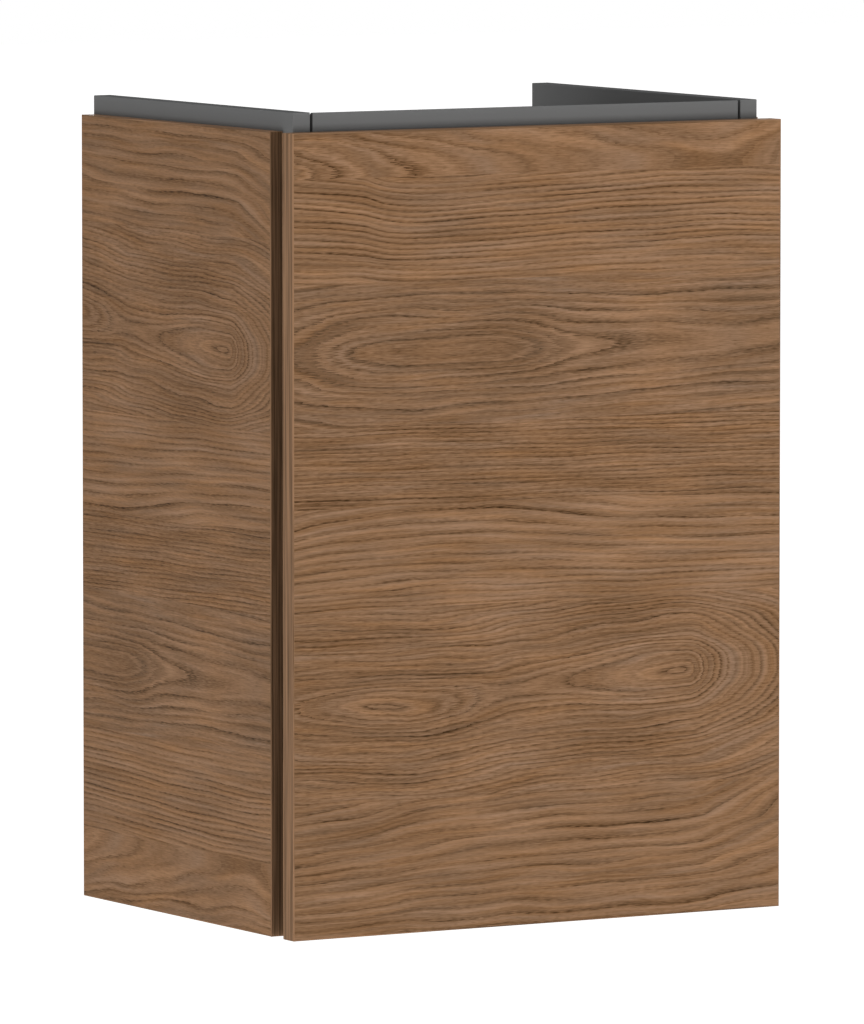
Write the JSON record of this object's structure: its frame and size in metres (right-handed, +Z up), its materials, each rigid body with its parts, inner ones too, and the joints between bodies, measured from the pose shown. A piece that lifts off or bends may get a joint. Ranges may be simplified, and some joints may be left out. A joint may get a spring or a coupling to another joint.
{
  "type": "under-sink vanity cabinet",
  "caption": "Wall-hung vanity cabinet with a single right-hinged door, wood-decor cladding, side finger groove and a set-back slate frame that carries the washbasin.",
  "frame": {"origin": "halfway between the two wall-bolt holes of the hanging brackets, on the wall plane", "axes": "+X to the right seen from the front, +Y back towards the wall, +Z up"},
  "size_m": [0.434, 0.332, 0.6267],
  "materials": {
    "walnut_decor": "matt walnut decor, horizontal grain",
    "slate_board": "matt slate-grey melamine board",
    "beech": "plain beech",
    "bright_steel": "nickel-plated",
    "zinc_steel": "zinc-plated",
    "shelf_glass": "clear, polished edges",
    "clear_bumper": "soft, frosted"
  },
  "bodies": {
    "cabinet": {"left_carcass_side": "slate_board", "right_carcass_side": "slate_board", "carcass_bottom": "slate_board", "front_rail": "slate_board", "rear_rail": "slate_board", "back_panel": "slate_board", "left_cladding": "walnut_decor", "right_cladding": "walnut_decor", "left_cladding_bands": "walnut_decor", "right_cladding_bands": "walnut_decor", "glass_shelf": "shelf_glass", "shelf_supports": "bright_steel", "left_hanging_bracket": "zinc_steel", "right_hanging_bracket": "zinc_steel", "bracket_screws": "zinc_steel", "cladding_screws": "zinc_steel", "joint_dowels": "beech", "cam_bolts": "zinc_steel", "cam_housings": "zinc_steel", "hinge_mounting_plates": "bright_steel", "hinge_plate_screws": "bright_steel", "hinge_arms": "bright_steel", "hinge_arm_screws": "bright_steel", "hinge_arm_pins": "bright_steel"},
    "links": {"hinge_links": "bright_steel"},
    "door": {"door_panel": "walnut_decor", "door_edge_bands": "walnut_decor", "door_bumpers": "clear_bumper", "hinge_cups": "bright_steel", "hinge_cup_pins": "bright_steel", "hinge_cup_screws": "bright_steel"}
  },
  "joints": [
    {"name": "link_turn", "type": "hinge", "parent": "cabinet", "child": "links", "pos_m": [0.173, -0.3096, 0], "axis": [0, 0, -1], "range_deg": [0, 45.2]},
    {"name": "door_swing", "type": "hinge", "parent": "links", "child": "door", "pos_m": [0.2014, -0.3185, 0], "axis": [0, 0, 1], "range_deg": [0, 150.15]}
  ],
  "couplings": [
    {"joint": "link_turn", "follows": "door_swing", "ratio": 0.3007}
  ]
}
